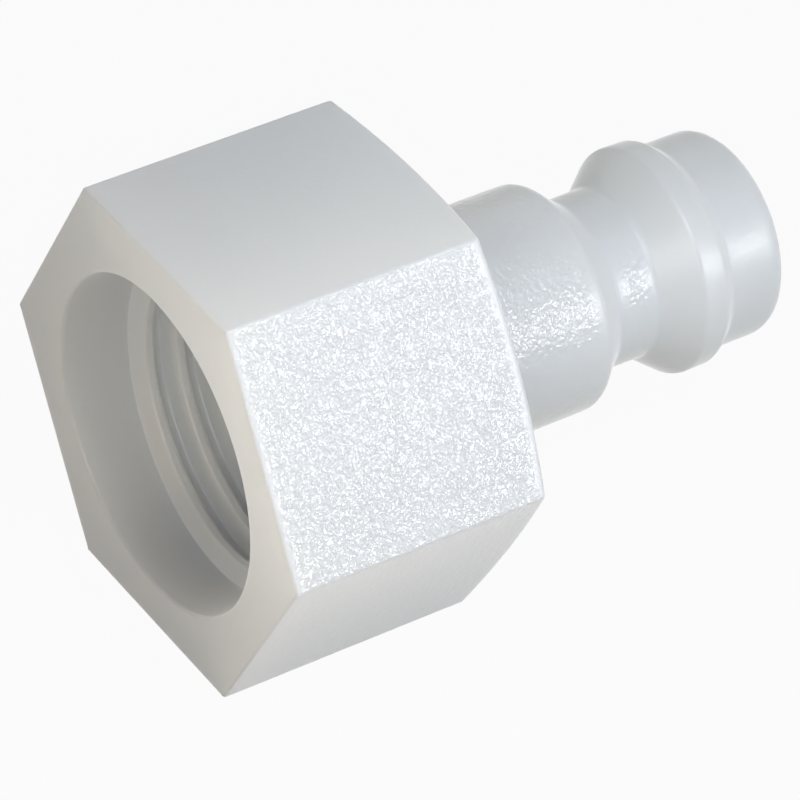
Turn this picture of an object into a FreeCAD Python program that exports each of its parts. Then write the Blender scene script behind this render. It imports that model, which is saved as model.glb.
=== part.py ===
import FreeCAD, Part
import math
import os
from enum import IntEnum

import Sketcher

# Female threaded plug for flexible tubing, moulded in one piece.
# A hexagon with a threaded socket stands at the front, and a grooved spigot behind it.
# The axis runs along +X, and the spigot's nose points to +X.
# The origin is the centre of the socket's mouth, on the hexagon's front face.
# +Z is up, and the hexagon lies on one of its flats.

# Driving sizes, in millimetres and degrees: name, value, what it measures
SIZES = [
    ("across_flats", 17.0, "Hexagon, spanner size"),
    ("hex_length", 11.0, "Hexagon, length along the axis"),
    ("rear_face_dia", 15.5, "Flat circle left on the hexagon's rear face"),
    ("rear_chamfer_angle", 12.5, "Slope of the conical chamfer behind the hexagon"),
    ("corner_round", 0.15, "Rounding of the hexagon's long corners"),
    ("rim_round", 0.1, "Rounding of the front face's outline"),
    ("thread_major_dia", 13.157, "Socket thread, root of the groove"),
    ("thread_crest_dia", 11.74, "Socket thread, crest of the ridge"),
    ("thread_flank_angle", 27.5, "Slope of the thread's front flank"),
    ("mouth_length", 2.45, "Smooth stretch before the thread's ridge"),
    ("mouth_chamfer", 0.12, "Broken edge of the socket's mouth"),
    ("socket_depth", 9.0, "Depth of the socket from the front face"),
    ("bore_dia", 5.0, "Flow bore through the spigot"),
    ("collar_dia", 9.0, "Collar behind the hexagon"),
    ("collar_length", 6.0, "Collar, to the edge of its shoulder"),
    ("shoulder_length", 1.2, "Cone from the collar down to the neck"),
    ("neck_dia", 6.75, "Neck of the latch groove"),
    ("neck_length", 1.75, "Neck between the two cones"),
    ("ring_flank_length", 1.4, "Cone from the neck up to the latch ring"),
    ("ring_dia", 9.0, "Latch ring"),
    ("ring_land_length", 0.95, "Latch ring, its straight land"),
    ("ring_back_length", 0.5, "Cone from the latch ring to the nose"),
    ("nose_dia", 8.2, "Nose that enters the coupling's seal"),
    ("nose_length", 2.6, "Nose, from the ring's cone to the tip"),
    ("shoulder_round", 0.48, "Rounding of the collar's shoulder"),
    ("neck_round", 0.42, "Fillets at both ends of the neck"),
    ("ring_round", 0.3, "Roundings of the latch ring and its foot"),
    ("nose_round", 0.8, "Rounding of the nose's tip"),
]

# The hexagon's circle through its corners, and how deep the conical chamfer cuts there
CORNER_RADIUS = "Sizes.across_flats / sqrt(3)"
CHAMFER_MARGIN = "1"
CHAMFER_TOP = f"{CORNER_RADIUS} + {CHAMFER_MARGIN}"
CHAMFER_RUN = f"({CHAMFER_TOP} - Sizes.rear_face_dia / 2) * tan(Sizes.rear_chamfer_angle)"

# Half-sections about the axis: step name, run along the axis, radius at its end.
# A step with no run is square to the axis, and a step with no radius is parallel to it.
SPIGOT_START = ("Sizes.hex_length", None)
SPIGOT_STEPS = [
    ("rear_face", None, "Sizes.collar_dia / 2"),
    ("collar", "Sizes.collar_length", None),
    ("shoulder", "Sizes.shoulder_length", "Sizes.neck_dia / 2"),
    ("neck", "Sizes.neck_length", None),
    ("ring_flank", "Sizes.ring_flank_length", "Sizes.ring_dia / 2"),
    ("ring_land", "Sizes.ring_land_length", None),
    ("ring_back", "Sizes.ring_back_length", "Sizes.nose_dia / 2"),
    ("nose", "Sizes.nose_length", None),
]

FLANK_HEIGHT = "(Sizes.thread_major_dia - Sizes.thread_crest_dia) / 2"
FLANK_RUN = f"{FLANK_HEIGHT} * tan(Sizes.thread_flank_angle)"
SOCKET_START = (None, None)
SOCKET_STEPS = [
    ("mouth_face", None, "Sizes.thread_major_dia / 2"),
    ("mouth", "Sizes.mouth_length", None),
    ("thread_flank", FLANK_RUN, "Sizes.thread_crest_dia / 2"),
    ("thread_wall", f"Sizes.socket_depth - Sizes.mouth_length - {FLANK_RUN}", None),
]

CHAMFER_START = (f"Sizes.hex_length - {CHAMFER_RUN}", CHAMFER_TOP)
CHAMFER_STEPS = [
    ("outside", CHAMFER_RUN, None),
    ("rear_face", None, "Sizes.rear_face_dia / 2"),
]

HEXAGON_SIDES = 6
SAME_PLACE = 1e-4


class Place(IntEnum):
    """The sketcher's numbers for the points of a line or a circle."""

    START = 1
    END = 2
    CENTRE = 3


class Axis(IntEnum):
    """The sketcher's numbers for a sketch's own axes."""

    ALONG = -1
    ACROSS = -2


ORIGIN = (Axis.ALONG, Place.START)


def make_sheet(doc):
    """The sheet of driving sizes: column A says what a size measures, column B holds it."""
    sheet = doc.addObject("Spreadsheet::Sheet", "Sizes")
    for row, (alias, size, meaning) in enumerate(SIZES, start=1):
        sheet.set(f"A{row}", meaning)
        sheet.set(f"B{row}", str(size))
        sheet.setAlias(f"B{row}", alias)
    doc.recompute()
    return sheet


def value(body, expression):
    """What an expression of the sheet's sizes comes to."""
    return float(body.Document.Sizes.evalExpression(expression))


def new_sketch(body, name, plane_role):
    """A sketch on one of the body's own origin planes."""
    sketch = body.newObject("Sketcher::SketchObject", name)
    plane = next(p for p in body.Origin.OriginFeatures if p.Role == plane_role)
    sketch.AttachmentSupport = [(plane, "")]
    sketch.MapMode = "FlatFace"
    return sketch


def dimension(body, sketch, kind, name, expression, *places):
    """A named dimension of a sketch that follows the sheet."""
    size = value(body, expression)
    index = sketch.addConstraint(Sketcher.Constraint(kind, *places, size))
    sketch.renameConstraint(index, name)
    sketch.setExpression(f"Constraints.{name}", expression)


def half_section(body, name, start, steps):
    """A closed outline on the XZ plane, with the axis along X and the radius along Z.

    Returns the sketch and the corner at the end of each step, by the step's name.
    """
    sketch = new_sketch(body, name, "XZ_Plane")
    start_run, start_radius = start
    first = FreeCAD.Vector(
        value(body, start_run) if start_run else 0.0,
        value(body, start_radius) if start_radius else 0.0,
        0.0,
    )
    corners = [first]
    for _, run, radius in steps:
        last = corners[-1]
        along = last.x + (value(body, run) if run else 0.0)
        across = value(body, radius) if radius else last.y
        corners.append(FreeCAD.Vector(along, across, 0.0))
    if not start_radius:
        corners.append(FreeCAD.Vector(corners[-1].x, 0.0, 0.0))
    count = len(corners)
    for k in range(count):
        sketch.addGeometry(Part.LineSegment(corners[k], corners[(k + 1) % count]))
    for k in range(count):
        following = (k + 1) % count
        sketch.addConstraint(
            Sketcher.Constraint("Coincident", k, Place.END, following, Place.START)
        )
    place_start(body, sketch, start)
    for k, (step, run, radius) in enumerate(steps):
        if run is None:
            sketch.addConstraint(Sketcher.Constraint("Vertical", k))
        else:
            dimension(body, sketch, "DistanceX", f"{step}_run", run, k, Place.START, k, Place.END)
        if radius is None:
            sketch.addConstraint(Sketcher.Constraint("Horizontal", k))
        else:
            dimension(body, sketch, "DistanceY", f"{step}_radius", radius, *ORIGIN, k, Place.END)
    if not start_radius:
        last_step = count - 2
        sketch.addConstraint(Sketcher.Constraint("Vertical", last_step))
        sketch.addConstraint(
            Sketcher.Constraint("PointOnObject", last_step, Place.END, Axis.ALONG)
        )
    body.Document.recompute()
    ends = {step: sketch.Geometry[k].EndPoint for k, (step, _, _) in enumerate(steps)}
    return sketch, ends


def place_start(body, sketch, start):
    """Ties an outline's first corner to the axis or to its own dimensions."""
    run, radius = start
    if run is None:
        sketch.addConstraint(Sketcher.Constraint("PointOnObject", 0, Place.START, Axis.ACROSS))
    else:
        dimension(body, sketch, "DistanceX", "start_run", run, *ORIGIN, 0, Place.START)
    if radius is None:
        sketch.addConstraint(Sketcher.Constraint("PointOnObject", 0, Place.START, Axis.ALONG))
    else:
        dimension(body, sketch, "DistanceY", "start_radius", radius, *ORIGIN, 0, Place.START)


def hexagon_outline(body):
    """A regular hexagon about the axis, with a flat at the top and one at the bottom."""
    sketch = new_sketch(body, "HexagonOutline", "YZ_Plane")
    radius = value(body, CORNER_RADIUS)
    turn = 2 * math.pi / HEXAGON_SIDES
    corners = [
        FreeCAD.Vector(radius * math.cos(k * turn), radius * math.sin(k * turn), 0.0)
        for k in range(HEXAGON_SIDES)
    ]
    for k in range(HEXAGON_SIDES):
        sketch.addGeometry(Part.LineSegment(corners[k], corners[(k + 1) % HEXAGON_SIDES]))
    circle = Part.Circle(FreeCAD.Vector(), FreeCAD.Vector(0, 0, 1), radius)
    rim = sketch.addGeometry(circle, True)
    for k in range(HEXAGON_SIDES):
        following = (k + 1) % HEXAGON_SIDES
        sketch.addConstraint(
            Sketcher.Constraint("Coincident", k, Place.END, following, Place.START)
        )
        sketch.addConstraint(Sketcher.Constraint("PointOnObject", k, Place.START, rim))
    for k in range(1, HEXAGON_SIDES):
        sketch.addConstraint(Sketcher.Constraint("Equal", 0, k))
    sketch.addConstraint(Sketcher.Constraint("Coincident", rim, Place.CENTRE, *ORIGIN))
    sketch.addConstraint(Sketcher.Constraint("PointOnObject", 0, Place.START, Axis.ALONG))
    dimension(body, sketch, "Radius", "corner_radius", CORNER_RADIUS, rim)
    return sketch


def pad_hexagon(body):
    """The hexagon, from the front face towards the nose."""
    pad = body.newObject("PartDesign::Pad", "Hexagon")
    pad.Profile = hexagon_outline(body)
    pad.setExpression("Length", "Sizes.hex_length")
    body.Document.recompute()
    return pad


def turn_about_axis(body, kind, name, sketch):
    """A full turn of a half-section about the part's axis."""
    feature = body.newObject(kind, name)
    feature.Profile = sketch
    feature.ReferenceAxis = (sketch, ["H_Axis"])
    feature.Angle = 360.0
    body.Document.recompute()
    return feature


def drill_bore(body):
    """The flow bore, from the socket's floor out through the nose."""
    sketch = new_sketch(body, "BoreOutline", "YZ_Plane")
    radius = value(body, "Sizes.bore_dia / 2")
    circle = sketch.addGeometry(Part.Circle(FreeCAD.Vector(), FreeCAD.Vector(0, 0, 1), radius))
    sketch.addConstraint(Sketcher.Constraint("Coincident", circle, Place.CENTRE, *ORIGIN))
    dimension(body, sketch, "Diameter", "bore_dia", "Sizes.bore_dia", circle)
    pocket = body.newObject("PartDesign::Pocket", "FlowBore")
    pocket.Profile = sketch
    pocket.Type = "ThroughAll"
    pocket.Midplane = True
    body.Document.recompute()
    return pocket


def circles_at(shape, corners):
    """Names of the round edges about the axis that stand at the given corners."""
    names = []
    for k, edge in enumerate(shape.Edges, start=1):
        if not isinstance(edge.Curve, Part.Circle):
            continue
        centre = edge.Curve.Center
        if math.hypot(centre.y, centre.z) > SAME_PLACE:
            continue
        for corner in corners:
            same_station = abs(centre.x - corner.x) < SAME_PLACE
            same_radius = abs(edge.Curve.Radius - corner.y) < SAME_PLACE
            if same_station and same_radius:
                names.append(f"Edge{k}")
    return names


def long_corners(shape, radius):
    """Names of the hexagon's six long edges, which stand at the corner radius."""
    names = []
    for k, edge in enumerate(shape.Edges, start=1):
        box = edge.BoundBox
        along_axis = box.YLength < SAME_PLACE and box.ZLength < SAME_PLACE
        distance = math.hypot(box.Center.y, box.Center.z)
        if along_axis and abs(distance - radius) < SAME_PLACE:
            names.append(f"Edge{k}")
    return names


def front_outline(shape, inscribed_radius):
    """Names of the edges round the hexagon's front face."""
    names = []
    for k, edge in enumerate(shape.Edges, start=1):
        box = edge.BoundBox
        on_front = abs(box.XMin) < SAME_PLACE and abs(box.XMax) < SAME_PLACE
        middle = edge.valueAt((edge.FirstParameter + edge.LastParameter) / 2)
        outside = math.hypot(middle.y, middle.z) > inscribed_radius - SAME_PLACE
        if on_front and outside:
            names.append(f"Edge{k}")
    return names


def dress_edges(body, kind, name, size, edges, expected):
    """Rounds or chamfers the named edges of the body's last feature."""
    if len(edges) != expected:
        raise RuntimeError(f"{name}: {len(edges)} edges found, {expected} expected")
    base = body.Tip
    dressing = body.newObject(kind, name)
    dressing.Base = (base, edges)
    dressing.setExpression("Radius" if kind == "PartDesign::Fillet" else "Size", size)
    body.Document.recompute()


def require_change(before, feature, grows):
    """Stops the build if a feature added or cut nothing."""
    change = feature.Shape.Volume - before
    if (change > 0) != grows or abs(change) < SAME_PLACE:
        raise RuntimeError(f"{feature.Label} changed the volume by {change:.3f} mm3")


def build_plug(doc):
    """The whole plug, as one body."""
    body = doc.addObject("PartDesign::Body", "PlugBody")
    body.Label = "plug_body"
    hexagon = pad_hexagon(body)

    chamfer_sketch, _ = half_section(body, "ChamferOutline", CHAMFER_START, CHAMFER_STEPS)
    chamfer = turn_about_axis(body, "PartDesign::Groove", "RearChamfer", chamfer_sketch)
    require_change(hexagon.Shape.Volume, chamfer, grows=False)

    corners = long_corners(body.Tip.Shape, value(body, CORNER_RADIUS))
    dress_edges(
        body, "PartDesign::Fillet", "CornerRounding", "Sizes.corner_round", corners, HEXAGON_SIDES
    )

    spigot_sketch, spigot = half_section(body, "SpigotOutline", SPIGOT_START, SPIGOT_STEPS)
    before = body.Tip.Shape.Volume
    turned = turn_about_axis(body, "PartDesign::Revolution", "Spigot", spigot_sketch)
    require_change(before, turned, grows=True)

    socket_sketch, socket = half_section(body, "SocketOutline", SOCKET_START, SOCKET_STEPS)
    before = body.Tip.Shape.Volume
    cut = turn_about_axis(body, "PartDesign::Groove", "Socket", socket_sketch)
    require_change(before, cut, grows=False)

    before = body.Tip.Shape.Volume
    bore = drill_bore(body)
    require_change(before, bore, grows=False)

    roundings = [
        ("ShoulderRounding", "Sizes.shoulder_round", [spigot["collar"]]),
        ("NeckFillets", "Sizes.neck_round", [spigot["shoulder"], spigot["neck"]]),
        (
            "RingRoundings",
            "Sizes.ring_round",
            [spigot["ring_flank"], spigot["ring_land"], spigot["ring_back"]],
        ),
        ("NoseRounding", "Sizes.nose_round", [spigot["nose"]]),
    ]
    for name, size, corners in roundings:
        edges = circles_at(body.Tip.Shape, corners)
        dress_edges(body, "PartDesign::Fillet", name, size, edges, len(corners))

    mouth_edge = circles_at(body.Tip.Shape, [socket["mouth_face"]])
    dress_edges(body, "PartDesign::Chamfer", "MouthChamfer", "Sizes.mouth_chamfer", mouth_edge, 1)

    rim = front_outline(body.Tip.Shape, value(body, "Sizes.across_flats / 2"))
    sides_and_corners = 2 * HEXAGON_SIDES
    dress_edges(
        body, "PartDesign::Fillet", "RimRounding", "Sizes.rim_round", rim, sides_and_corners
    )
    body.Placement = FreeCAD.Placement()
    return body


def check_document(doc):
    """Stops the build if any object failed."""
    for item in doc.Objects:
        faults = {"Invalid", "Error"} & set(item.State)
        if faults:
            raise RuntimeError(f"{item.Label} is {', '.join(sorted(faults))}")


def write_part(body):
    """Checks the finished solid and writes it under its node's name."""
    shape = body.Shape
    if shape.isNull() or not shape.isValid() or len(shape.Solids) != 1:
        raise RuntimeError(f"{body.Label} isn't one valid solid")
    shape.exportStep(f"parts/{body.Label}.step")
    print(f"{body.Label}: {shape.Volume:.1f} mm3, box {shape.BoundBox}")


def main():
    """Builds the plug and writes its STEP file."""
    os.makedirs("parts", exist_ok=True)
    doc = FreeCAD.newDocument("FemaleThreadedPlug")
    make_sheet(doc)
    plug = build_plug(doc)
    doc.recompute()
    check_document(doc)
    write_part(plug)


main()
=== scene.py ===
"""The looks of a female threaded plug, moulded in one piece from milky natural plastic.

The plug lies on a pale table. Its axis runs along +X, from the threaded mouth at the origin
to the spigot's nose.
"""

import logging
import math
from dataclasses import dataclass, field
from enum import Enum
from typing import Callable

import bmesh
import bpy
from mathutils import Matrix, Vector


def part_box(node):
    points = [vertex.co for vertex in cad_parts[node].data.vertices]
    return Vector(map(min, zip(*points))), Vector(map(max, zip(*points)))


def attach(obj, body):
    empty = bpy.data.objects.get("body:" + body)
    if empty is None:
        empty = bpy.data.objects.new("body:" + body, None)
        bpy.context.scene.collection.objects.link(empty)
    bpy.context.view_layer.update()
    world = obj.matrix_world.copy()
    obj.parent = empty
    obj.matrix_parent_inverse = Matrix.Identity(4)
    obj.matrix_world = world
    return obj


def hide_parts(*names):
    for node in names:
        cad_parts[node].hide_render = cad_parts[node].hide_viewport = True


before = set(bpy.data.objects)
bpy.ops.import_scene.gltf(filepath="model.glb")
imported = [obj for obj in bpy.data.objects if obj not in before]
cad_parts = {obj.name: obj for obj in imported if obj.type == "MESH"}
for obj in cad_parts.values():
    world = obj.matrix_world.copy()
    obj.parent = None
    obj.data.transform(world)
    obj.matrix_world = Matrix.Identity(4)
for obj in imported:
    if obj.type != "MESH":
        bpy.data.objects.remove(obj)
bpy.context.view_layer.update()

log = logging.getLogger("plug")

MM = 0.001
AXIS = Vector((1.0, 0.0, 0.0))
CENTRE = Vector((0.0, 0.0, 0.0))

# Sizes that more than one part of the plug keeps to
HEXAGON_LENGTH = 11.0 * MM
COLLAR_RADIUS = 4.5 * MM
THREAD_ROOT_RADIUS = 6.5785 * MM
SOCKET_DEPTH = 9.0 * MM

# How finely the skin is divided, and how near two points are taken as one
SEGMENTS = 360
SECTORS = 20
SAME_PLACE = 0.001 * MM
SHARP_ANGLE = math.radians(40.0)
ROUND_PROFILE = 0.5
KEEP_MATERIAL = -1

# The vertex attribute that holds the grain's strength
GRAIN = "grain"

Place = Callable[[float], tuple[float, float]]


@dataclass(frozen=True)
class Corner:
    """A corner of a half-section about the axis.

    Args:
        along: its place along the axis, in metres.
        radius: its distance from the axis, in metres.
        rounding: the radius that it is rounded with.
    """

    along: float
    radius: float
    rounding: float = 0.0


class Rim(Enum):
    """The edges of the hexagon and the mouth that are rounded after the skin is closed."""

    LONG_CORNERS = "long corners"
    FRONT_OUTLINE = "front outline"
    REAR_OUTLINE = "rear outline"
    MOUTH = "mouth"


def new_section(
    corners: list[Corner], longest: float, sharpest: float
) -> bmesh.types.BMesh:
    """Draws a half-section as a chain of edges, with its corners rounded.

    Args:
        corners: the section's corners, in order.
        longest: the longest edge that stays undivided, so that shading keeps to its place.
        sharpest: the largest turn from one edge to the next in a rounding.

    Returns:
        A mesh that holds the chain alone.
    """
    section = bmesh.new()
    points = [section.verts.new((c.along, c.radius, 0.0)) for c in corners]
    for first, second in zip(points, points[1:]):
        section.edges.new((first, second))
    for k, corner in enumerate(corners):
        if corner.rounding > 0.0:
            turn = turn_at(corners[k - 1], corner, corners[k + 1])
            bmesh.ops.bevel(
                section,
                geom=[points[k]],
                offset=corner.rounding * math.tan(turn / 2),
                offset_type="OFFSET",
                affect="VERTICES",
                segments=max(2, math.ceil(turn / sharpest)),
                profile=ROUND_PROFILE,
                material=KEEP_MATERIAL,
            )
    for edge in list(section.edges):
        cuts = math.ceil(edge.calc_length() / longest) - 1
        if cuts > 0:
            bmesh.ops.subdivide_edges(section, edges=[edge], cuts=cuts)
    return section


def turn_at(before: Corner, corner: Corner, after: Corner) -> float:
    """Measures how sharply a section turns at a corner.

    Args:
        before: the corner before it.
        corner: the corner itself.
        after: the corner after it.

    Returns:
        The angle between the edge that arrives and the edge that leaves.
    """
    arriving = Vector((corner.along - before.along, corner.radius - before.radius))
    leaving = Vector((after.along - corner.along, after.radius - corner.radius))
    return arriving.angle(leaving)


def sweep_round(mesh: bmesh.types.BMesh, advance: float = 0.0) -> None:
    """Sweeps a half-section round the axis: one sector first, and then its copies.

    Args:
        mesh: holds the half-section, and takes the skin.
        advance: how far a full turn moves it along the axis.
    """
    steps = SEGMENTS // SECTORS
    share = math.tau / SECTORS
    bmesh.ops.spin(
        mesh,
        geom=mesh.verts[:] + mesh.edges[:],
        cent=CENTRE,
        axis=AXIS,
        dvec=AXIS * (advance / SEGMENTS),
        angle=share,
        steps=steps,
    )
    bmesh.ops.spin(
        mesh,
        geom=mesh.verts[:] + mesh.edges[:] + mesh.faces[:],
        cent=CENTRE,
        axis=AXIS,
        dvec=AXIS * (advance / SECTORS),
        angle=share * (SECTORS - 1),
        steps=SECTORS - 1,
        use_duplicate=True,
    )
    bmesh.ops.remove_doubles(mesh, verts=mesh.verts[:], dist=SAME_PLACE)


def join(target: bmesh.types.BMesh, part: bmesh.types.BMesh) -> None:
    """Adds a part's geometry to a mesh, and frees the part.

    Args:
        target: the mesh that takes the part in.
        part: the mesh that is added.
    """
    carrier = bpy.data.meshes.new("carrier")
    part.to_mesh(carrier)
    part.free()
    target.from_mesh(carrier)
    bpy.data.meshes.remove(carrier)


def angle_of(vertex: bmesh.types.BMVert) -> float:
    """Returns a vertex's angle about the axis, from +Y towards +Z."""
    return math.atan2(vertex.co.z, vertex.co.y)


def distance_of(vertex: bmesh.types.BMVert) -> float:
    """Returns a vertex's distance from the axis."""
    return math.hypot(vertex.co.y, vertex.co.z)


def eased(share: float) -> float:
    """Returns a share between 0 and 1 that leaves 0 and reaches 1 gently."""
    return share * share * (3.0 - 2.0 * share)


def grow_ring(
    mesh: bmesh.types.BMesh, rim: list[bmesh.types.BMEdge], place: Place
) -> list[bmesh.types.BMEdge]:
    """Extrudes a rim and moves the new ring to its place.

    Args:
        mesh: the mesh that holds the rim.
        rim: the edges to extrude.
        place: gives a vertex's place along the axis and its radius from its angle.

    Returns:
        The new ring's edges.
    """
    made = bmesh.ops.extrude_edge_only(mesh, edges=rim)["geom"]
    ring = [item for item in made if isinstance(item, bmesh.types.BMVert)]
    for vertex in ring:
        angle = angle_of(vertex)
        along, radius = place(angle)
        vertex.co = (along, radius * math.cos(angle), radius * math.sin(angle))
    fresh = set(ring)
    return [
        item
        for item in made
        if isinstance(item, bmesh.types.BMEdge) and fresh.issuperset(item.verts)
    ]


@dataclass
class Hexagon:
    """The spanner hexagon: its front face, its flats and the conical chamfer behind them.

    Args:
        across_flats: the spanner size.
        length: how far it reaches along the axis, to its rear face.
        rear_face_radius: where the rear face ends and the chamfer begins.
        chamfer_angle: how far the chamfer leans from the rear face.
        inner_radius: the mouth in its front face.
        outer_radius: where its rear face meets the collar.
        corner_rounding: the rounding of its long corners.
        front_rounding: the rounding of the front face's outline.
        rear_rounding: the rounding where the flats meet the chamfer.
        mouth_rounding: the rounding of the mouth.
        edge_guard: how far from an edge a guarding ring stands, so that flats shade as flat.
        outline_turn: the least turn between faces that marks an outline's edge.
        rounding_steps: how many faces a rounding has.
        sides: how many flats it has.
    """

    across_flats: float = 17.0 * MM
    length: float = HEXAGON_LENGTH
    rear_face_radius: float = 7.75 * MM
    chamfer_angle: float = math.radians(12.5)
    inner_radius: float = THREAD_ROOT_RADIUS
    outer_radius: float = COLLAR_RADIUS
    corner_rounding: float = 0.15 * MM
    front_rounding: float = 0.10 * MM
    rear_rounding: float = 0.19 * MM
    mouth_rounding: float = 0.12 * MM
    edge_guard: float = 0.45 * MM
    outline_turn: float = math.radians(60.0)
    rounding_steps: int = 4
    sides: int = 6

    def outline(self, angle: float) -> float:
        """Measures how far the flats are from the axis.

        Args:
            angle: the angle about the axis, from +Y towards +Z.

        Returns:
            The distance at that angle.
        """
        sector = math.tau / self.sides
        from_middle = angle % sector - sector / 2
        return self.across_flats / 2 / math.cos(from_middle)

    def rear_edge(self, angle: float) -> float:
        """Returns where the chamfer's cone cuts the flats, along the axis."""
        beyond = self.outline(angle) - self.rear_face_radius
        return self.length - beyond * math.tan(self.chamfer_angle)

    def build(self) -> bmesh.types.BMesh:
        """Grows the hexagon ring by ring, from the mouth round to the collar.

        Returns:
            The open skin, from the mouth's circle to the collar's.
        """
        mesh = bmesh.new()
        bmesh.ops.create_circle(
            mesh,
            segments=SEGMENTS,
            radius=self.inner_radius,
            matrix=Matrix.Rotation(math.pi / 2, 4, "Y"),
        )
        rim = list(mesh.edges)
        guard = self.edge_guard
        cone_step = guard * math.tan(self.chamfer_angle)
        places: list[Place] = [
            lambda angle: (0.0, self.inner_radius + guard),
            lambda angle: (0.0, self.outline(angle) - guard),
            lambda angle: (0.0, self.outline(angle)),
            lambda angle: (guard, self.outline(angle)),
            lambda angle: (self.rear_edge(angle) - guard, self.outline(angle)),
            lambda angle: (self.rear_edge(angle), self.outline(angle)),
            lambda angle: (self.rear_edge(angle) + cone_step, self.outline(angle) - guard),
            lambda angle: (self.length, self.rear_face_radius),
            lambda angle: (self.length, self.outer_radius + guard),
            lambda angle: (self.length, self.outer_radius),
        ]
        for place in places:
            rim = grow_ring(mesh, rim, place)
        return mesh

    def belongs(self, edge: bmesh.types.BMEdge, rim: Rim) -> bool:
        """Tests whether an edge is on a rim.

        Args:
            edge: an edge of the closed skin.
            rim: the rim that is wanted.

        Returns:
            True where it is.
        """
        alongs = [v.co.x for v in edge.verts]
        radii = [distance_of(v) for v in edge.verts]
        in_front = max(alongs) < SAME_PLACE
        if rim is Rim.LONG_CORNERS:
            runs_back = max(alongs) - min(alongs) > SAME_PLACE
            return runs_back and min(radii) > self.outline(0.0) - SAME_PLACE
        if rim is Rim.MOUTH:
            return in_front and max(radii) < self.inner_radius + SAME_PLACE
        turns = edge.calc_face_angle(0.0) > self.outline_turn
        far_out = min(radii) > self.across_flats / 2 - SAME_PLACE
        if rim is Rim.FRONT_OUTLINE:
            return in_front and far_out and turns
        return not in_front and far_out and turns

    def round_rims(self, mesh: bmesh.types.BMesh) -> None:
        """Rounds the hexagon's edges and the mouth.

        Args:
            mesh: the closed skin.
        """
        sector = math.tau / self.sides
        right_angle = math.pi / 2
        roundings = [
            (Rim.LONG_CORNERS, self.corner_rounding, sector),
            (Rim.FRONT_OUTLINE, self.front_rounding, right_angle),
            (Rim.REAR_OUTLINE, self.rear_rounding, right_angle - self.chamfer_angle),
            (Rim.MOUTH, self.mouth_rounding, right_angle),
        ]
        for rim, radius, turn in roundings:
            edges = [edge for edge in mesh.edges if self.belongs(edge, rim)]
            log.info("rounding the %s: %d edges", rim.value, len(edges))
            bmesh.ops.bevel(
                mesh,
                geom=edges,
                offset=radius * math.tan(turn / 2),
                offset_type="OFFSET",
                affect="EDGES",
                segments=self.rounding_steps,
                profile=ROUND_PROFILE,
                material=KEEP_MATERIAL,
            )


@dataclass
class Spigot:
    """The turned rear half: collar, latch groove, latch ring, nose and flow bore.

    The lengths follow one another along the axis, from the hexagon's rear face to the nose.

    Args:
        start: where the collar leaves the hexagon.
        collar_radius: the collar's radius.
        collar_length: the collar, to the edge of its shoulder.
        shoulder_length: the cone from the collar down to the neck.
        neck_radius: the floor of the latch groove.
        neck_length: the neck between its two cones.
        ring_flank_length: the cone from the neck up to the latch ring.
        ring_radius: the latch ring's radius.
        ring_land_length: the latch ring's straight land.
        ring_back_length: the cone from the latch ring to the nose.
        nose_radius: the nose's radius.
        nose_length: the nose, from the ring's cone to the tip.
        bore_radius: the flow bore's radius.
        bore_end: where the flow bore opens into the socket's floor.
        shoulder_rounding: the rounding of the collar's shoulder.
        neck_rounding: the fillets at both ends of the neck.
        ring_rounding: the roundings of the latch ring and its foot.
        nose_rounding: the rounding of the nose's tip.
        bore_rounding: the rounding of the bore at the tip.
        longest_edge: the longest edge in the section.
        sharpest_turn: the largest turn from one edge of a rounding to the next.
    """

    start: float = HEXAGON_LENGTH
    collar_radius: float = COLLAR_RADIUS
    collar_length: float = 6.0 * MM
    shoulder_length: float = 1.2 * MM
    neck_radius: float = 3.375 * MM
    neck_length: float = 1.75 * MM
    ring_flank_length: float = 1.4 * MM
    ring_radius: float = 4.5 * MM
    ring_land_length: float = 0.95 * MM
    ring_back_length: float = 0.5 * MM
    nose_radius: float = 4.1 * MM
    nose_length: float = 2.6 * MM
    bore_radius: float = 2.5 * MM
    bore_end: float = SOCKET_DEPTH
    shoulder_rounding: float = 0.48 * MM
    neck_rounding: float = 0.42 * MM
    ring_rounding: float = 0.3 * MM
    nose_rounding: float = 0.8 * MM
    bore_rounding: float = 0.1 * MM
    longest_edge: float = 0.5 * MM
    sharpest_turn: float = math.radians(9.0)

    def corners(self) -> list[Corner]:
        """Lays the section's stretches end to end.

        Returns:
            The half-section's corners, from the hexagon round to the socket's floor.
        """
        steps = [
            (self.collar_length, self.collar_radius, self.shoulder_rounding),
            (self.shoulder_length, self.neck_radius, self.neck_rounding),
            (self.neck_length, self.neck_radius, self.neck_rounding),
            (self.ring_flank_length, self.ring_radius, self.ring_rounding),
            (self.ring_land_length, self.ring_radius, self.ring_rounding),
            (self.ring_back_length, self.nose_radius, self.ring_rounding),
            (self.nose_length, self.nose_radius, self.nose_rounding),
        ]
        along = self.start
        found = [Corner(along, self.collar_radius)]
        for run, radius, rounding in steps:
            along += run
            found.append(Corner(along, radius, rounding))
        found.append(Corner(along, self.bore_radius, self.bore_rounding))
        found.append(Corner(self.bore_end, self.bore_radius))
        return found

    def build(self) -> bmesh.types.BMesh:
        """Spins the half-section round the axis.

        Returns:
            The open skin, from the collar's root to the flow bore's inner end.
        """
        mesh = new_section(self.corners(), self.longest_edge, self.sharpest_turn)
        sweep_round(mesh)
        return mesh


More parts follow.
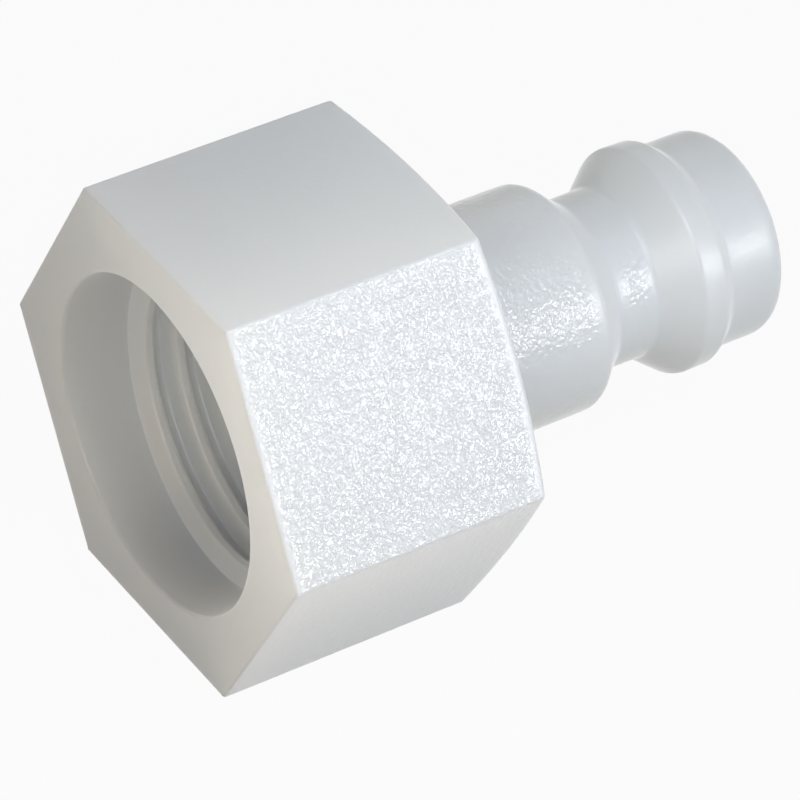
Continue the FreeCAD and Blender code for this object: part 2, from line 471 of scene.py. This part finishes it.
@dataclass
class Socket:
    """The threaded socket: a smooth mouth, and a ridge that winds down to the floor.

    Args:
        root_radius: the wall between the ridge's turns, and the mouth.
        crest_radius: the top of the ridge.
        pitch: how far one turn moves the ridge along the axis.
        crest_width: the flat on the ridge's top.
        flank_angle: how far the ridge's flanks lean.
        first_flank: where the ridge's front foot stands at angle 0.
        ridge_start: the angle at which the ridge starts to rise.
        ridge_taper: the turn over which it rises to its full height.
        thread_front: where the smooth mouth ends and the threaded wall begins.
        depth: the socket's floor.
        rounding: the rounding of the ridge's foot and top.
        end_margin: how far the section reaches past its first and last turn.
        longest_edge: the longest edge in the section.
        sharpest_turn: the largest turn from one edge of a rounding to the next.
    """

    root_radius: float = THREAD_ROOT_RADIUS
    crest_radius: float = 5.87 * MM
    pitch: float = 1.337 * MM
    crest_width: float = 0.30 * MM
    flank_angle: float = math.radians(27.5)
    first_flank: float = 2.8 * MM
    ridge_start: float = math.radians(-190.0)
    ridge_taper: float = math.radians(45.0)
    thread_front: float = 1.6 * MM
    depth: float = SOCKET_DEPTH
    rounding: float = 0.09 * MM
    end_margin: float = 0.1 * MM
    longest_edge: float = 0.4 * MM
    sharpest_turn: float = math.radians(16.0)

    def ridge(self, foot: float) -> list[Corner]:
        """Draws one turn's ridge in section.

        Args:
            foot: where its front foot stands along the axis.

        Returns:
            The corners, from its front foot to its rear foot.
        """
        run = (self.root_radius - self.crest_radius) * math.tan(self.flank_angle)
        crest_start = foot + run
        crest_end = crest_start + self.crest_width
        return [
            Corner(foot, self.root_radius, self.rounding),
            Corner(crest_start, self.crest_radius, self.rounding),
            Corner(crest_end, self.crest_radius, self.rounding),
            Corner(crest_end + run, self.root_radius, self.rounding),
        ]

    def first_foot(self) -> float:
        """Returns the ridge's front foot at angle 0, a turn before the thread's front."""
        turns = math.ceil((self.first_flank - self.thread_front) / self.pitch) + 1
        return self.first_flank - turns * self.pitch

    def corners(self) -> list[Corner]:
        """Lays the ridge's turns one behind the other.

        Returns:
            The section of the wall at angle 0, a turn longer than the thread.
        """
        foot = self.first_foot()
        found = [Corner(foot - self.end_margin, self.root_radius)]
        while foot < self.depth + self.pitch:
            found.extend(self.ridge(foot))
            foot += self.pitch
        found.append(Corner(foot - self.end_margin, self.root_radius))
        return found

    def build(self) -> bmesh.types.BMesh:
        """Spins the section along a helix, and trims it at the thread's front and the floor.

        Returns:
            The threaded wall, open at both ends.
        """
        mesh = new_section(self.corners(), self.longest_edge, self.sharpest_turn)
        sweep_round(mesh, advance=self.pitch)
        self.start_ridge(mesh)
        for along, outwards in ((self.thread_front, -AXIS), (self.depth, AXIS)):
            bmesh.ops.bisect_plane(
                mesh,
                geom=mesh.verts[:] + mesh.edges[:] + mesh.faces[:],
                dist=SAME_PLACE,
                plane_co=AXIS * along,
                plane_no=outwards,
                clear_outer=True,
            )
        return mesh

    def start_ridge(self, mesh: bmesh.types.BMesh) -> None:
        """Flattens the ridge ahead of its start, and lets it rise over its first stretch.

        Args:
            mesh: the threaded wall, before it is trimmed.
        """
        foot = self.first_foot()
        turns_before = round((self.first_flank - foot) / self.pitch)
        for vertex in mesh.verts:
            angle = angle_of(vertex) % math.tau
            if angle > math.tau - SAME_PLACE:
                angle = 0.0
            at_zero = vertex.co.x - self.pitch * angle / math.tau
            turn = math.floor((at_zero - foot + SAME_PLACE) / self.pitch)
            unrolled = (turn - turns_before) * math.tau + angle
            rise = (unrolled - self.ridge_start) / self.ridge_taper
            share = eased(min(1.0, max(0.0, rise)))
            radius = distance_of(vertex)
            new_radius = self.root_radius - (self.root_radius - radius) * share
            vertex.co.y *= new_radius / radius
            vertex.co.z *= new_radius / radius


@dataclass(frozen=True)
class NaturalPlastic:
    """Milky natural plastic: it throws back cool light, and lets warm light through.

    Args:
        colour: what the body throws back.
        through_colour: what comes through to the far side.
        through: the share of the light that goes through instead of being thrown back.
        refraction: the refractive index, which sets how strong the gloss is.
        smooth_roughness: the roughness of the polished faces.
        grained_roughness: the roughness of the grain's little slopes.
        grain_size: the length of the grain's waves.
        grain_height: the height of the grain.
    """

    colour: tuple[float, float, float] = (0.71, 0.79, 0.88)
    through_colour: tuple[float, float, float] = (0.91, 0.87, 0.80)
    through: float = 0.65
    refraction: float = 1.49
    smooth_roughness: float = 0.42
    grained_roughness: float = 0.22
    grain_size: float = 0.20 * MM
    grain_height: float = 0.090 * MM

    def make(self, name: str) -> bpy.types.Material:
        """Lays the grained gloss over the milky body.

        Args:
            name: the material's name.

        Returns:
            The material.
        """
        material = bpy.data.materials.new(name)
        material.use_nodes = True
        tree = material.node_tree
        grained = tree.nodes.new("ShaderNodeAttribute")
        grained.attribute_name = GRAIN
        share = grained.outputs["Fac"]
        relief = self.relief(tree, share)
        whole = tree.nodes.new("ShaderNodeMixShader")
        tree.links.new(self.gloss_share(tree, relief), whole.inputs[0])
        tree.links.new(self.body(tree), whole.inputs[1])
        tree.links.new(self.gloss(tree, relief, share), whole.inputs[2])
        output = tree.nodes["Material Output"]
        tree.links.new(whole.outputs[0], output.inputs["Surface"])
        return material

    def body(self, tree: bpy.types.NodeTree) -> bpy.types.NodeSocket:
        """Mixes the light that is thrown back with the light that comes through.

        Args:
            tree: the material's node tree.

        Returns:
            The body's shader.
        """
        back = tree.nodes["Principled BSDF"]
        back.inputs["Base Color"].default_value = (*self.colour, 1.0)
        back.inputs["Specular IOR Level"].default_value = 0.0
        within = tree.nodes.new("ShaderNodeBsdfTranslucent")
        within.inputs["Color"].default_value = (*self.through_colour, 1.0)
        mixed = tree.nodes.new("ShaderNodeMixShader")
        mixed.inputs[0].default_value = self.through
        tree.links.new(back.outputs[0], mixed.inputs[1])
        tree.links.new(within.outputs[0], mixed.inputs[2])
        return mixed.outputs[0]

    def gloss(
        self,
        tree: bpy.types.NodeTree,
        relief: bpy.types.NodeSocket,
        share: bpy.types.NodeSocket,
    ) -> bpy.types.NodeSocket:
        """Makes the mirror-like surface, which is rougher where it is polished smooth.

        Args:
            tree: the material's node tree.
            relief: the bumped normal.
            share: how strong the grain is from place to place.

        Returns:
            The gloss's shader.
        """
        rough = tree.nodes.new("ShaderNodeMapRange")
        rough.inputs["To Min"].default_value = self.smooth_roughness
        rough.inputs["To Max"].default_value = self.grained_roughness
        tree.links.new(share, rough.inputs["Value"])
        surface = tree.nodes.new("ShaderNodeBsdfGlossy")
        surface.inputs["Color"].default_value = (1.0, 1.0, 1.0, 1.0)
        tree.links.new(rough.outputs["Result"], surface.inputs["Roughness"])
        tree.links.new(relief, surface.inputs["Normal"])
        return surface.outputs[0]

    def gloss_share(
        self, tree: bpy.types.NodeTree, relief: bpy.types.NodeSocket
    ) -> bpy.types.NodeSocket:
        """Measures how much of the light the gloss mirrors: none on a wall's inner side.

        Args:
            tree: the material's node tree.
            relief: the bumped normal.

        Returns:
            The share of the gloss.
        """
        mirrored = tree.nodes.new("ShaderNodeFresnel")
        mirrored.inputs["IOR"].default_value = self.refraction
        tree.links.new(relief, mirrored.inputs["Normal"])
        side = tree.nodes.new("ShaderNodeNewGeometry")
        outer = tree.nodes.new("ShaderNodeMath")
        outer.operation = "SUBTRACT"
        outer.use_clamp = True
        tree.links.new(mirrored.outputs[0], outer.inputs[0])
        tree.links.new(side.outputs["Backfacing"], outer.inputs[1])
        return outer.outputs[0]

    def relief(
        self, tree: bpy.types.NodeTree, share: bpy.types.NodeSocket
    ) -> bpy.types.NodeSocket:
        """Adds the spark-eroded grain of the mould as a bump.

        Args:
            tree: the material's node tree.
            share: how strong the grain is from place to place.

        Returns:
            The bumped normal.
        """
        place = tree.nodes.new("ShaderNodeTexCoord")
        noise = tree.nodes.new("ShaderNodeTexNoise")
        noise.inputs["Scale"].default_value = 1.0 / self.grain_size
        noise.inputs["Detail"].default_value = 1.0
        noise.inputs["Roughness"].default_value = 0.5
        bump = tree.nodes.new("ShaderNodeBump")
        bump.inputs["Distance"].default_value = self.grain_height
        tree.links.new(place.outputs["Object"], noise.inputs["Vector"])
        tree.links.new(noise.outputs["Fac"], bump.inputs["Height"])
        tree.links.new(share, bump.inputs["Strength"])
        return bump.outputs["Normal"]


@dataclass(frozen=True)
class Grain:
    """How strong the mould's grain is on each part of the outside, from 0 to 1.

    Args:
        near_flat: on the flat that faces the photograph's camera.
        other_flats: on the other flats.
        collar: on the collar.
        neck: on the neck, between its fillets.
        ring: on the latch ring.
        nose: on the nose.
        rear_margin: how far the flats' grain stays from the chamfer.
        flat_tolerance: how far below a flat a place still counts as on it.
        near_side: which flat is the near one, counted from +Y towards +Z.
    """

    near_flat: float = 1.0
    other_flats: float = 0.35
    collar: float = 0.7
    neck: float = 0.7
    ring: float = 0.1
    nose: float = 0.16
    rear_margin: float = 0.40 * MM
    flat_tolerance: float = 2 * SAME_PLACE
    near_side: int = 2

    def share(self, hexagon: Hexagon, spigot: Spigot, place: Vector) -> float:
        """Looks up the grain at a place on the skin.

        Args:
            hexagon: the spanner hexagon.
            spigot: the turned rear half.
            place: a place on the plug's skin.

        Returns:
            The grain's strength there.
        """
        if place.x < hexagon.length + SAME_PLACE:
            return self.on_hexagon(hexagon, place)
        return self.on_spigot(spigot, place)

    def on_hexagon(self, hexagon: Hexagon, place: Vector) -> float:
        """Looks up the grain at a place on the hexagon or in the socket.

        Args:
            hexagon: the spanner hexagon.
            place: a place on the plug's skin.

        Returns:
            The grain's strength there.
        """
        angle = math.atan2(place.z, place.y)
        on_flat = math.hypot(place.y, place.z) > hexagon.outline(angle) - self.flat_tolerance
        clear_of_front = place.x > hexagon.front_rounding
        clear_of_rear = place.x < hexagon.rear_edge(angle) - self.rear_margin
        if not (on_flat and clear_of_front and clear_of_rear):
            return 0.0
        side = math.floor(angle % math.tau / (math.tau / hexagon.sides))
        return self.near_flat if side == self.near_side else self.other_flats

    def on_spigot(self, spigot: Spigot, place: Vector) -> float:
        """Looks up the grain at a place on the spigot or in its bore.

        Args:
            spigot: the turned rear half.
            place: a place on the plug's skin.

        Returns:
            The grain's strength there.
        """
        if math.hypot(place.y, place.z) < spigot.neck_radius - SAME_PLACE:
            return 0.0
        shoulder = spigot.start + spigot.collar_length - spigot.shoulder_rounding / 2
        if place.x < shoulder:
            return self.collar
        neck = shoulder + spigot.shoulder_length + spigot.shoulder_rounding / 2
        if place.x < neck + spigot.neck_rounding:
            return 0.0
        ring = neck + spigot.neck_length - spigot.neck_rounding
        if place.x < ring:
            return self.neck
        nose = ring + spigot.ring_flank_length + spigot.ring_land_length
        return self.ring if place.x < nose + spigot.ring_back_length else self.nose


@dataclass
class Plug:
    """The whole moulding: one closed skin in one plastic.

    Args:
        hexagon: the spanner hexagon.
        spigot: the turned rear half.
        socket: the threaded socket.
        plastic: what it is moulded from.
        grain: where its skin is grained.
    """

    hexagon: Hexagon = field(default_factory=Hexagon)
    spigot: Spigot = field(default_factory=Spigot)
    socket: Socket = field(default_factory=Socket)
    plastic: NaturalPlastic = field(default_factory=NaturalPlastic)
    grain: Grain = field(default_factory=Grain)

    def skin(self) -> bmesh.types.BMesh:
        """Joins the hexagon, the spigot and the socket into one closed skin.

        Returns:
            The skin, with its faces outwards and its grain noted.
        """
        mesh = self.hexagon.build()
        join(mesh, self.spigot.build())
        join(mesh, self.socket.build())
        bmesh.ops.remove_doubles(mesh, verts=mesh.verts[:], dist=SAME_PLACE)
        self.close_gap(mesh, 0.0, self.socket.thread_front)
        self.close_gap(mesh, self.socket.depth, self.socket.depth)
        bmesh.ops.recalc_face_normals(mesh, faces=mesh.faces[:])
        self.hexagon.round_rims(mesh)
        layer = mesh.verts.layers.float.new(GRAIN)
        for vertex in mesh.verts:
            vertex[layer] = self.grain.share(self.hexagon, self.spigot, vertex.co)
        return mesh

    def close_gap(self, mesh: bmesh.types.BMesh, first: float, second: float) -> None:
        """Bridges two open rims.

        Args:
            mesh: the skin that holds them.
            first: where the first rim stands along the axis.
            second: where the second rim stands along the axis.
        """
        wanted = (first, second)
        rims = [
            edge
            for edge in mesh.edges
            if edge.is_boundary
            and any(all(abs(v.co.x - x) < SAME_PLACE for v in edge.verts) for x in wanted)
        ]
        bmesh.ops.bridge_loops(mesh, edges=rims)

    def build(self) -> bpy.types.Object:
        """Makes the plug's object, dressed and riding on its body.

        Returns:
            The object, which stands for the solid.
        """
        mesh = self.skin()
        open_edges = sum(1 for edge in mesh.edges if not edge.is_manifold)
        data = bpy.data.meshes.new("threaded_plug")
        mesh.to_mesh(data)
        mesh.free()
        data.shade_smooth()
        data.set_sharp_from_angle(angle=SHARP_ANGLE)
        plug = bpy.data.objects.new("threaded_plug", data)
        bpy.context.scene.collection.objects.link(plug)
        data.materials.append(self.plastic.make("natural_plastic"))
        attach(plug, "root")
        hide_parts("plug_body")
        data.calc_loop_triangles()
        log.info("plug: %d triangles, %d open edges", len(data.loop_triangles), open_edges)
        return plug


@dataclass
class Table:
    """The pale table that the plug lies on, and the white beyond it.

    Args:
        height: where its top lies.
        half_size: half of its side.
        colour: the colour that it lights the plug with.
        shown_white: the share of plain white in what the camera sees of it.
        ambient: the colour of the even light from all round.
        ambient_strength: how bright that light is.
    """

    height: float
    half_size: float = 0.6
    colour: tuple[float, float, float] = (0.28, 0.28, 0.28)
    shown_white: float = 0.95
    ambient: tuple[float, float, float] = (1.0, 0.97, 0.92)
    ambient_strength: float = 0.05

    def build(self) -> bpy.types.Object:
        """Makes the table's top and dresses it.

        Returns:
            The table.
        """
        mesh = bmesh.new()
        bmesh.ops.create_grid(
            mesh,
            x_segments=1,
            y_segments=1,
            size=self.half_size,
            matrix=Matrix.Translation((0.0, 0.0, self.height)),
        )
        data = bpy.data.meshes.new("table")
        mesh.to_mesh(data)
        mesh.free()
        table = bpy.data.objects.new("table", data)
        bpy.context.scene.collection.objects.link(table)
        data.materials.append(self.material())
        return table

    def material(self) -> bpy.types.Material:
        """Makes the plain top, which the camera sees near white with a soft shadow.

        Returns:
            The material.
        """
        material = bpy.data.materials.new("pale_table")
        material.use_nodes = True
        tree = material.node_tree
        tree.nodes.remove(tree.nodes["Principled BSDF"])
        matte = tree.nodes.new("ShaderNodeBsdfDiffuse")
        matte.inputs["Color"].default_value = (*self.colour, 1.0)
        white = tree.nodes.new("ShaderNodeEmission")
        white.inputs["Strength"].default_value = 1.0
        mix = tree.nodes.new("ShaderNodeMixShader")
        share = tree.nodes.new("ShaderNodeMath")
        share.operation = "MULTIPLY"
        share.inputs[1].default_value = self.shown_white
        tree.links.new(seen_directly(tree), share.inputs[0])
        tree.links.new(share.outputs[0], mix.inputs[0])
        tree.links.new(matte.outputs[0], mix.inputs[1])
        tree.links.new(white.outputs[0], mix.inputs[2])
        output = tree.nodes["Material Output"]
        tree.links.new(mix.outputs[0], output.inputs["Surface"])
        return material

    def surround(self) -> bpy.types.World:
        """Makes the faint even light from all round, which the camera sees as white.

        Returns:
            The world, set as the scene's.
        """
        world = bpy.data.worlds.new("studio")
        world.use_nodes = True
        tree = world.node_tree
        even = tree.nodes["Background"]
        even.inputs["Color"].default_value = (*self.ambient, 1.0)
        even.inputs["Strength"].default_value = self.ambient_strength
        white = tree.nodes.new("ShaderNodeBackground")
        white.inputs["Color"].default_value = (1.0, 1.0, 1.0, 1.0)
        white.inputs["Strength"].default_value = 1.0
        mix = tree.nodes.new("ShaderNodeMixShader")
        tree.links.new(seen_directly(tree), mix.inputs[0])
        tree.links.new(even.outputs[0], mix.inputs[1])
        tree.links.new(white.outputs[0], mix.inputs[2])
        tree.links.new(mix.outputs[0], tree.nodes["World Output"].inputs["Surface"])
        bpy.context.scene.world = world
        return world


def seen_directly(tree: bpy.types.NodeTree) -> bpy.types.NodeSocket:
    """Adds a test for rays of the camera and of mirror-like surfaces.

    Args:
        tree: the node tree that the test is for.

    Returns:
        The socket that gives 1 for such rays and 0 for the rest.
    """
    path = tree.nodes.new("ShaderNodeLightPath")
    either = tree.nodes.new("ShaderNodeMath")
    either.operation = "MAXIMUM"
    tree.links.new(path.outputs["Is Camera Ray"], either.inputs[0])
    tree.links.new(path.outputs["Is Glossy Ray"], either.inputs[1])
    return either.outputs[0]


@dataclass(frozen=True)
class Lamp:
    """A soft round lamp that faces the plug.

    Args:
        name: the lamp's name.
        azimuth: where it stands round the plug, in degrees from -Y towards +X.
        elevation: how high it stands, in degrees.
        distance: how far it stands from its target.
        half_angle: the angle that half of it takes up from its target, in degrees.
        radiance: how bright its face is, where 1 is white.
        colour: the colour of its light.
        target: the place that it faces, beside the hexagon's near side.
    """

    name: str
    azimuth: float
    elevation: float
    distance: float
    half_angle: float
    radiance: float
    colour: tuple[float, float, float] = (1.0, 1.0, 1.03)
    target: tuple[float, float, float] = (2.0 * MM, -7.0 * MM, 0.0)

    def build(self) -> bpy.types.Object:
        """Hangs the lamp and turns it to its target.

        Returns:
            The lamp.
        """
        turn, rise = math.radians(self.azimuth), math.radians(self.elevation)
        away = Vector(
            (math.sin(turn) * math.cos(rise), -math.cos(turn) * math.cos(rise), math.sin(rise))
        )
        radius = self.distance * math.tan(math.radians(self.half_angle))
        area = math.pi * radius**2
        data = bpy.data.lights.new(self.name, "AREA")
        data.shape = "DISK"
        data.size = 2 * radius
        data.energy = self.radiance * area * math.pi
        data.color = self.colour
        lamp = bpy.data.objects.new(self.name, data)
        lamp.location = Vector(self.target) + away * self.distance
        lamp.rotation_euler = away.to_track_quat("Z", "Y").to_euler()
        lamp.visible_camera = False
        bpy.context.scene.collection.objects.link(lamp)
        return lamp


@dataclass(frozen=True)
class Viewpoint:
    """The photograph's camera, fitted to the plug's outline.

    Args:
        azimuth: where it stands round the plug, from -Y towards +X.
        elevation: how high it stands.
        roll: how far it is turned about its line of sight.
        across: how far its line of sight passes the origin, to the right.
        upwards: how far its line of sight passes the origin, upwards.
        distance: how far it stands from the origin, along its line of sight.
        lens: the focal length, in millimetres.
        sensor: the sensor's width, in millimetres.
        near: the nearest that it sees.
        far: the farthest that it sees.
    """

    azimuth: float = math.radians(-33.791)
    elevation: float = math.radians(38.672)
    roll: float = math.radians(1.678)
    across: float = 8.913 * MM
    upwards: float = 1.651 * MM
    distance: float = 209.7 * MM
    lens: float = 260.8
    sensor: float = 36.0
    near: float = 10.0 * MM
    far: float = 10.0

    def build(self) -> bpy.types.Object:
        """Sets up the camera as the scene's.

        Returns:
            The camera.
        """
        level = math.cos(self.elevation)
        back = Vector(
            (
                math.sin(self.azimuth) * level,
                -math.cos(self.azimuth) * level,
                math.sin(self.elevation),
            )
        )
        right = Vector((0.0, 0.0, 1.0)).cross(back).normalized()
        turned = Matrix.Rotation(self.roll, 3, back)
        right = turned @ right
        up = back.cross(right)
        data = bpy.data.cameras.new("camera")
        data.lens = self.lens
        data.sensor_width = self.sensor
        data.clip_start = self.near
        data.clip_end = self.far
        camera = bpy.data.objects.new("camera", data)
        axes = Matrix((right, up, back)).transposed().to_4x4()
        spot = right * self.across + up * self.upwards + back * self.distance
        camera.matrix_world = Matrix.Translation(spot) @ axes
        bpy.context.scene.collection.objects.link(camera)
        bpy.context.scene.camera = camera
        return camera


# The lamps' tinted lights
WARM = (1.0, 0.65, 0.32)
CREAM = (1.0, 0.96, 0.89)
COOL = (0.93, 0.985, 1.055)

# Each lamp's name, azimuth, elevation, distance, half angle, radiance and tint
LAMPS = (
    Lamp("key_softbox", 29.5, 16.0, 0.5, 6.5, 42.5),
    Lamp("right_fill", 60.0, 5.0, 0.5, 15.0, 2.1, COOL),
    Lamp("back_right", 150.0, 35.0, 0.5, 15.0, 0.8),
    Lamp("back_left", 210.0, 20.0, 0.5, 15.0, 1.2),
    Lamp("front_fill", -45.0, 27.0, 90.0 * MM, 14.0, 8.2, CREAM),
    Lamp("left_fill", -90.0, 5.0, 90.0 * MM, 14.0, 3.6, WARM),
    Lamp("top_fill", 15.0, 60.0, 90.0 * MM, 14.0, 10.4, COOL),
    Lamp("left_top_fill", -30.0, 45.0, 90.0 * MM, 14.0, 1.4),
)


def main() -> None:
    """Builds the plug, its table, the lamps and the camera, and logs each step."""
    logging.basicConfig(level=logging.INFO, format="%(message)s")
    scene = bpy.context.scene
    scene.view_settings.view_transform = "Standard"
    plug = Plug().build()
    log.info("built %s", plug.name)
    low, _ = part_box("plug_body")
    table = Table(height=low.z)
    table.build()
    table.surround()
    log.info("laid the table")
    for lamp in LAMPS:
        lamp.build()
        log.info("hung the lamp %s", lamp.name)
    Viewpoint().build()


if __name__ == "__main__":
    main()
